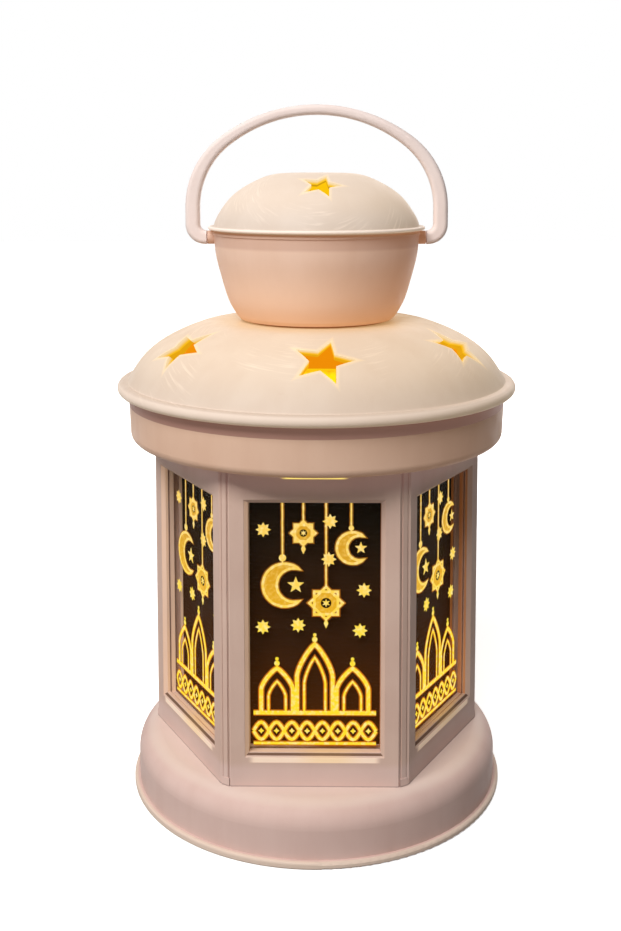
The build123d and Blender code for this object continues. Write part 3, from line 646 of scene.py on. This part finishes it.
etch = {
    "glow": {"low": paint(196, 100, 4), "high": paint(120, 74, 20), "pale": paint(206, 128, 16),
             "depth": 0.04 * mm},
    "fill": {"low": paint(246, 186, 10), "high": paint(216, 158, 34), "pale": paint(246, 204, 96),
             "depth": 0.07 * mm},
    "line": {"low": paint(255, 222, 44), "high": paint(250, 208, 92), "pale": paint(255, 242, 186),
             "depth": 0.1 * mm},
    "fleck": 1.2 * mm, "fleckRange": (0.42, 0.7), "fleckShare": 0.5, "base": paint(40, 28, 8), "rough": 0.6,
    "specular": 0.1, "fade": (sillLevel + 22 * mm, headLevel - 14 * mm),
}
layers = ("glow", "fill", "line")


# etched lines, their fillings and the glow beside them, brightest near the lights at the foot of the pane
def etchFinish(layer):
    look = etch[layer]
    finish = Finish(layer + "Etching")
    place = finish.coordinates()
    height = finish.split(place)[2]
    flecks = finish.noise(place, etch["fleck"]).rise(*etch["fleckRange"])
    colour = finish.mix(height.rise(*etch["fade"]), look["low"], look["high"])
    colour = finish.mix(flecks * etch["fleckShare"], colour, look["pale"])
    return finish.shader({
        "Base Color": etch["base"], "Roughness": etch["rough"], "Specular IOR Level": etch["specular"],
        "Emission Color": colour, "Emission Strength": 1.0})


steel = {"colour": paint(196, 196, 200), "dull": paint(158, 156, 154), "scratch": 0.5 * mm,
         "scratchStretch": (0.08, 1.0, 1.0), "scratchDepth": 0.01 * mm, "rough": 0.24, "scratchRough": 0.22}


def steelFinish(name):
    finish = Finish(name)
    drawn = finish.stretched(finish.coordinates(), steel["scratchStretch"])
    lines = finish.noise(drawn, steel["scratch"], detail=3.0)
    return finish.shader({
        "Base Color": finish.mix(lines, steel["colour"], steel["dull"]), "Metallic": 1.0,
        "Roughness": steel["rough"] + lines * steel["scratchRough"],
        "Normal": finish.bump(lines, steel["scratchDepth"])})


board = {"mask": paint(34, 84, 48), "track": paint(52, 116, 66), "pitch": 2.4 * mm, "trackEdge": (0.12, 0.06),
         "trackDepth": 0.03 * mm, "rough": 0.38}


def boardFinish():
    finish = Finish("boardMask")
    cells = finish.node("ShaderNodeTexVoronoi", {"feature": "DISTANCE_TO_EDGE"},
                        {"Vector": finish.coordinates(), "Scale": 1 / board["pitch"]})
    tracks = cells.rise(*board["trackEdge"])
    return finish.shader({
        "Base Color": finish.mix(tracks, board["mask"], board["track"]), "Roughness": board["rough"],
        "Normal": finish.bump(tracks, board["trackDepth"])})


lamp = {"resin": paint(255, 214, 130), "light": paint(255, 190, 70), "cloud": 3 * mm, "cloudShare": 0.4,
        "rough": 0.3, "ledStrength": 3.0, "lensStrength": 1.0}


def lampFinish(name, strength):
    finish = Finish(name)
    cloud = finish.noise(finish.coordinates(), lamp["cloud"])
    return finish.shader({
        "Base Color": finish.mix(cloud, lamp["resin"], lamp["light"]), "Roughness": lamp["rough"],
        "Emission Color": finish.mix(cloud * lamp["cloudShare"], lamp["light"], lamp["resin"]),
        "Emission Strength": strength})


cell = {"jacket": paint(52, 54, 60), "stripe": paint(150, 118, 62), "stripeFrom": (12 * mm, 12.3 * mm),
        "end": paint(190, 190, 194), "endFrom": (21.0 * mm, 21.3 * mm), "endMetal": 0.9,
        "grain": 0.8 * mm, "grime": paint(30, 30, 32), "grimeShare": 0.2, "rough": 0.3, "grainRough": 0.15}


def cellFinish():
    finish = Finish("cellJacket")
    place = finish.coordinates()
    along = finish.split(place)[1]
    grain = finish.noise(place, cell["grain"])
    ends = abs(along).rise(*cell["endFrom"])
    colour = finish.mix(along.rise(*cell["stripeFrom"]), cell["jacket"], cell["stripe"])
    colour = finish.mix(ends, colour, cell["end"])
    return finish.shader({
        "Base Color": finish.mix(grain * cell["grimeShare"], colour, cell["grime"]),
        "Metallic": ends * cell["endMetal"], "Roughness": cell["rough"] + grain * cell["grainRough"]})


switch = {"colour": paint(38, 38, 40), "shade": paint(28, 28, 30)}


def switchFinish():
    return Plastic("switchPlastic", switch).done()


finishes = {
    "base_shell": bodyFinish(), "collar": collarFinish(), "roof_dome": roofFinish(), "neck_cup": cupFinish(),
    "top_cap": capFinish(), "handle": handleFinish(), "inner_liner": linerFinish(),
    "battery_contacts": steelFinish("contactSteel"), "base_screws": steelFinish("screwSteel"),
    "switch_body": switchFinish(), "led_ring_board": boardFinish(),
    "edge_leds": lampFinish("ledResin", lamp["ledStrength"]),
    "lamp_lens": lampFinish("lensFrost", lamp["lensStrength"]),
    "battery": cellFinish(), "side_frame": frameFinish(), "window_pane": paneFinish(),
}
likewise = {"bottom_plate": "base_shell", "battery_door": "base_shell", "board_screws": "base_screws",
            "switch_slider": "switch_body", "lamp_board": "led_ring_board", "lamp_led": "edge_leds",
            "corner_post": "side_frame"}


def dress(node, material):
    mesh = nodes[node].data
    mesh.materials.clear()
    mesh.materials.append(material)


for node in nodes:
    kind = node.rstrip("0123456789").rstrip("_")
    dress(node, finishes[likewise.get(kind, kind)])
print("finishes on", len(nodes), "nodes")


# sizes of the pane's ornament in millimetres, places from the middle of the sill
ornament = {
    "line": 0.8, "bold": 1.2, "glow": 0.7, "fine": 0.5, "mitreLeast": 0.5, "turnLeast": 0.01, "margin": 1.2,
    "crescents": [(-9.0, 51.0, 6.6), (11.4, 62.5, 4.8)],
    "octagrams": [(3.4, 45.5, 5.0), (-3.4, 67.0, 3.6)],
    "sparks": [(-15.4, 68.0), (4.2, 59.0), (14.8, 49.5), (-15.6, 38.0), (13.6, 37.0), (-5.0, 38.6),
               (4.6, 70.6)],
    "sparkRadius": 2.3, "sparkInner": 0.62, "sparkPoints": 8,
}


# flat strokes and shapes, drawn on the pane as (across, up) from the middle of its sill
class Etching:
    def __init__(self):
        self.mesh = bmesh.new()

    def point(self, spot, depth):
        return self.mesh.verts.new((spot[0], -paneFront - depth, sillLevel + spot[1]))

    def face(self, corners, layer):
        self.mesh.faces.new(corners).material_index = layers.index(layer)

    # a rim twice: raised, and on the pane
    def rows(self, rim, layer):
        raised = [self.point(spot, etch[layer]["depth"]) for spot in rim]
        flat = [self.point(spot, 0.0) for spot in rim]
        return raised, flat

    def band(self, path, width, closed, layer):
        count = len(path)
        left, right = [], []
        for index, spot in enumerate(path):
            before = path[index - 1] if closed or index > 0 else spot
            after = path[(index + 1) % count] if closed or index < count - 1 else spot
            first = (spot - before).normalized() if spot != before else (after - spot).normalized()
            second = (after - spot).normalized() if after != spot else first
            along = first + second
            along = along.normalized() if along.length > ornament["turnLeast"] else first
            half = width / 2 / max(ornament["mitreLeast"], along.dot(first))
            across = Vector((-along.y, along.x)) * half
            left.append(spot + across)
            right.append(spot - across)
        leftRaised, leftFlat = self.rows(left, layer)
        rightRaised, rightFlat = self.rows(right, layer)
        edges = [leftRaised, rightRaised, rightFlat, leftFlat]
        for index in range(count if closed else count - 1):
            ahead = (index + 1) % count
            for near, far in zip(edges, edges[1:] + edges[:1]):
                self.face((near[index], near[ahead], far[ahead], far[index]), layer)
        if not closed:
            for index in (0, count - 1):
                self.face([edge[index] for edge in edges], layer)

    # a bright line with a wider glow under it
    def stroke(self, path, width, closed=False):
        self.band(path, width + ornament["glow"] * mm, closed, "glow")
        self.band(path, width, closed, "line")

    # a thin line up to the head of the window
    def thread(self, start):
        self.stroke([start, Vector((start.x, headLevel - sillLevel))], ornament["fine"] * mm)

    def fill(self, rim, layer="line"):
        raised, flat = self.rows(rim, layer)
        self.face(raised, layer)
        self.face(flat, layer)
        for index in range(len(rim)):
            ahead = (index + 1) % len(rim)
            self.face((raised[index], raised[ahead], flat[ahead], flat[index]), layer)

    def finish(self, name, turn):
        bmesh.ops.recalc_face_normals(self.mesh, faces=self.mesh.faces)
        turned = Matrix.Rotation(turn, 3, "Z")
        bmesh.ops.rotate(self.mesh, verts=self.mesh.verts, cent=(0, 0, 0), matrix=turned)
        data = bpy.data.meshes.new(name)
        self.mesh.to_mesh(data)
        self.mesh.free()
        made = bpy.data.objects.new(name, data)
        scene.collection.objects.link(made)
        return made


def around(centre, radius, turn):
    return Vector((centre[0] + radius * math.cos(turn), centre[1] + radius * math.sin(turn)))


def arc(centre, radius, start, end, steps):
    return [around(centre, radius, start + (end - start) * index / steps) for index in range(steps + 1)]


# corners spaced evenly round a circle
def ring(centre, radius, corners, lean=0.0):
    return arc(centre, radius, lean, lean + 2 * math.pi * (corners - 1) / corners, corners - 1)


def starRim(centre, radius, inner, points):
    rim = []
    for index in range(2 * points):
        length = radius if index % 2 == 0 else inner
        rim.append(around(centre, length, math.pi / 2 + index * math.pi / points))
    return rim


# shares of a crescent's radius, apart from the turn of its tips
moon = {"tip": math.radians(48), "shift": 0.42, "outerSteps": 40, "innerSteps": 32,
        "starAt": 0.5, "star": 0.4, "starInner": 0.17, "starPoints": 5,
        "hangAt": -0.1, "hangTop": 0.99, "beadAt": 0.28, "bead": 0.17, "beadPoints": 6}


def crescent(etching, centre, radius, line):
    tip = moon["tip"]
    outer = arc(centre, radius, tip, 2 * math.pi - tip, moon["outerSteps"])
    shift = radius * moon["shift"]
    hollow = (centre[0] + shift, centre[1])
    tipX = radius * math.cos(tip) - shift
    tipY = radius * math.sin(tip)
    lean = math.atan2(tipY, tipX)
    inner = arc(hollow, math.hypot(tipX, tipY), 2 * math.pi - lean, lean, moon["innerSteps"])
    rim = outer + inner[1:-1]
    etching.fill(rim, "fill")
    etching.stroke(rim, line, True)
    starAt = (centre[0] + radius * moon["starAt"], centre[1])
    etching.fill(starRim(starAt, radius * moon["star"], radius * moon["starInner"], moon["starPoints"]))
    hang = Vector((centre[0] + radius * moon["hangAt"], centre[1] + radius * moon["hangTop"]))
    etching.thread(hang)
    bead = radius * moon["bead"]
    etching.fill(starRim((hang.x, hang.y + radius * moon["beadAt"]), bead, bead, moon["beadPoints"]))


# shares of an eight-pointed star's radius, and its drop in widths of the line
rosette = {"ring": 0.5, "ringWidth": 0.36, "ringCorners": 24,
           "star": 0.26, "starInner": 0.11, "starPoints": 6,
           "dropGap": 1.6, "dropTall": 2.0, "dropWide": 0.9}


def octagram(etching, centre, radius, line):
    for lean in (0, math.pi / 4):
        etching.stroke(ring(centre, radius, 4, lean), line, True)
    inner = ring(centre, radius * rosette["ring"], rosette["ringCorners"])
    etching.band(inner, radius * rosette["ringWidth"], True, "fill")
    star = starRim(centre, radius * rosette["star"], radius * rosette["starInner"], rosette["starPoints"])
    etching.fill(star)
    etching.thread(Vector((centre[0], centre[1] + radius)))
    drop = (centre[0], centre[1] - radius - rosette["dropGap"] * line)
    etching.fill(starRim(drop, rosette["dropTall"] * line, rosette["dropWide"] * line, 2))


# arches as (middle, width, height) and balls as (lift, radius), in millimetres; spring, a share of height
arcade = {"low": 11.2, "arches": [(-11.4, 9.6, 14.0), (0.0, 10.8, 21.5), (11.4, 9.6, 14.0)],
          "spring": 0.52, "steps": 12, "leanPower": 0.8, "risePower": 1.25,
          "insetWide": 4.4, "insetTall": 4.2, "insetLine": 0.8,
          "balls": [(1.5, 0.85), (2.9, 0.55)], "ballCorners": 12}


def archPath(middle, low, width, height):
    half = width / 2
    spring = low + height * arcade["spring"]
    rise = low + height - spring
    path = [Vector((middle - half, low)), Vector((middle - half, spring))]
    for index in range(1, arcade["steps"] + 1):
        share = index / arcade["steps"]
        lean = half * math.cos(share * math.pi / 2) ** arcade["leanPower"]
        path.append(Vector((middle - lean, spring + rise * share ** arcade["risePower"])))
    mirrored = [Vector((2 * middle - spot.x, spot.y)) for spot in reversed(path[:-1])]
    return path + mirrored


def drawArcade(etching, line, bold, half):
    low = arcade["low"] * mm
    for middle, width, height in arcade["arches"]:
        etching.stroke(archPath(middle * mm, low, width * mm, height * mm), bold)
        innerWidth = (width - arcade["insetWide"]) * mm
        innerHeight = (height - arcade["insetTall"]) * mm
        etching.stroke(archPath(middle * mm, low, innerWidth, innerHeight), line * arcade["insetLine"])
        for lift, ball in arcade["balls"]:
            tip = (middle * mm, low + (height + lift) * mm)
            etching.fill(ring(tip, ball * mm, arcade["ballCorners"]))
    etching.stroke([Vector((-half, low)), Vector((half, low))], bold)


# two waves that cross over a line, with a small star in each eye, in millimetres
waveBand = {"low": 1.6, "high": 8.6, "lift": 0.4, "waves": 4, "waveSteps": 16, "waveLine": 0.8, "eye": 0.9,
            "eyeInner": 0.5, "eyePoints": 4}


def drawBand(etching, line, bold, half):
    low = waveBand["low"] * mm
    waves = waveBand["waves"]
    etching.stroke([Vector((-half, low)), Vector((half, low))], line)
    middle = ((waveBand["low"] + waveBand["high"]) / 2 + waveBand["lift"]) * mm
    swing = (waveBand["high"] - waveBand["low"]) / 2 * mm - line
    steps = waves * waveBand["waveSteps"]
    for sign in (-1, 1):
        wave = []
        for index in range(steps + 1):
            share = index / steps
            turn = share * waves * 2 * math.pi
            wave.append(Vector((-half + 2 * half * share, middle + sign * swing * math.sin(turn))))
        etching.stroke(wave, bold * waveBand["waveLine"])
    eye = waveBand["eye"] * mm
    eyeInner = waveBand["eyeInner"] * mm
    for index in range(2 * waves):
        x = -half + 2 * half * (index + 0.5) / (2 * waves)
        etching.fill(starRim((x, middle), eye, eyeInner, waveBand["eyePoints"]))


def drawPane(etching):
    line = ornament["line"] * mm
    bold = ornament["bold"] * mm
    spark = ornament["sparkRadius"] * mm
    half = windowHalf - ornament["margin"] * mm
    for x, y, radius in ornament["crescents"]:
        crescent(etching, (x * mm, y * mm), radius * mm, line)
    for x, y, radius in ornament["octagrams"]:
        octagram(etching, (x * mm, y * mm), radius * mm, line)
    for x, y in ornament["sparks"]:
        rim = starRim((x * mm, y * mm), spark, spark * ornament["sparkInner"], ornament["sparkPoints"])
        etching.fill(rim)
    drawArcade(etching, line, bold, half)
    drawBand(etching, line, bold, half)


etchings = [etchFinish(layer) for layer in layers]
for side in range(sides):
    etching = Etching()
    drawPane(etching)
    made = etching.finish("paneEtching%d" % (side + 1), side * sideStep)
    for material in etchings:
        made.data.materials.append(material)
    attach(made, "lantern")
print("etched panes", sides)


# camera fitted to the photograph's frame: pixels, then millimetres of sensor, degrees and metres
camera = {"frameHeight": 931, "frameWidth": 621, "focal": 1160.0, "axisX": 316.52, "axisY": 280.67,
          "sensor": 36.0, "tilt": 5.3, "bearing": 0.7, "distance": 0.381, "height": 0.2018, "nearest": 0.01}


def placeCamera():
    data = bpy.data.cameras.new("camera")
    data.sensor_fit = "VERTICAL"
    data.sensor_height = camera["sensor"]
    data.sensor_width = camera["sensor"]
    data.lens = camera["focal"] / camera["frameHeight"] * camera["sensor"]
    data.shift_x = (camera["frameWidth"] / 2 - camera["axisX"]) / camera["frameHeight"]
    data.shift_y = (camera["axisY"] - camera["frameHeight"] / 2) / camera["frameHeight"]
    data.clip_start = camera["nearest"]
    made = bpy.data.objects.new("camera", data)
    turn = math.radians(camera["bearing"])
    away = camera["distance"]
    made.location = (away * math.sin(turn), -away * math.cos(turn), camera["height"])
    made.rotation_euler = (math.radians(90 - camera["tilt"]), 0, turn)
    scene.collection.objects.link(made)
    scene.camera = made


placeCamera()


# key light from the front left, a second light behind, soft fill that is stronger from the left
light = {
    "key": {"turn": 28.0, "rise": 46.0, "wide": 0.8, "tall": 0.4, "power": 13.0, "glints": True},
    "back": {"turn": -154.0, "rise": 18.0, "wide": 0.6, "tall": 0.3, "power": 7.0, "glints": False},
    "distance": 1.1, "aim": Vector((0, 0, 0.11)), "colour": (1.0, 0.965, 0.92),
    "fill": 0.13, "fillSwing": 0.9, "fillColour": (1.0, 0.97, 0.94, 1.0),
}


def areaLight(name, look):
    data = bpy.data.lights.new(name, "AREA")
    data.energy = look["power"]
    data.shape = "RECTANGLE"
    data.size = look["wide"]
    data.size_y = look["tall"]
    data.color = light["colour"]
    made = bpy.data.objects.new(name, data)
    turn = math.radians(look["turn"])
    rise = math.radians(look["rise"])
    away = Vector((-math.sin(turn) * math.cos(rise), -math.cos(turn) * math.cos(rise), math.sin(rise)))
    made.location = light["aim"] + away * light["distance"]
    made.rotation_euler = (-away).to_track_quat("-Z", "Y").to_euler()
    made.visible_glossy = look["glints"]
    scene.collection.objects.link(made)


for kind in ("key", "back"):
    areaLight(kind + "Light", light[kind])


# whether a ray comes straight from the camera, and whether it does so or is mirrored or let through
def seen(finish):
    outputs = finish.node("ShaderNodeLightPath").socket.node.outputs
    direct = Sock(finish, outputs["Is Camera Ray"])
    mirrored = Sock(finish, outputs["Is Glossy Ray"])
    through = Sock(finish, outputs["Is Transmission Ray"])
    return direct, direct.larger(mirrored).larger(through)


def setWorld():
    world = bpy.data.worlds.new("studio")
    scene.world = world
    world.use_nodes = True
    finish = Finish("studio", world.node_tree)
    right = finish.split(finish.coordinates("Generated"))[0]
    fill = (1.0 - right * light["fillSwing"]) * light["fill"]
    looked = seen(finish)[1]
    strength = fill * (1.0 - looked) + looked
    colour = finish.mix(looked, light["fillColour"], white)
    sky = finish.node("ShaderNodeBackground", {}, {"Color": colour, "Strength": strength})
    finish.node("ShaderNodeOutputWorld", {}, {"Surface": sky})


setWorld()

# white floor; lift is the light that it adds near the lantern, full white lies beyond liftReach
floorLook = {"half": 3.0, "colour": paint(248, 248, 248), "bounce": paint(146, 144, 142),
             "lift": (0.6, 0.6, 0.6, 1.0), "liftReach": (0.2, 0.6), "cloud": 0.4, "rough": 0.85,
             "cloudRough": 0.1, "specular": 0.1}


def layFloor():
    shape = bmesh.new()
    half = floorLook["half"]
    corners = ((-half, -half), (half, -half), (half, half), (-half, half))
    shape.faces.new([shape.verts.new((x, y, 0)) for x, y in corners])
    data = bpy.data.meshes.new("floor")
    shape.to_mesh(data)
    shape.free()
    made = bpy.data.objects.new("floor", data)
    scene.collection.objects.link(made)
    finish = Finish("floorPaint")
    direct, looked = seen(finish)
    place = finish.coordinates()
    finish.about(place)
    cloud = finish.noise(place, floorLook["cloud"])
    lift = finish.mix(finish.radius.rise(*floorLook["liftReach"]), floorLook["lift"], white)
    data.materials.append(finish.shader({
        "Base Color": finish.mix(direct, floorLook["bounce"], floorLook["colour"]),
        "Roughness": floorLook["rough"] + cloud * floorLook["cloudRough"],
        "Specular IOR Level": floorLook["specular"],
        "Emission Color": finish.mix(looked, black, lift), "Emission Strength": 1.0}))


layFloor()
print("stage and lights set")
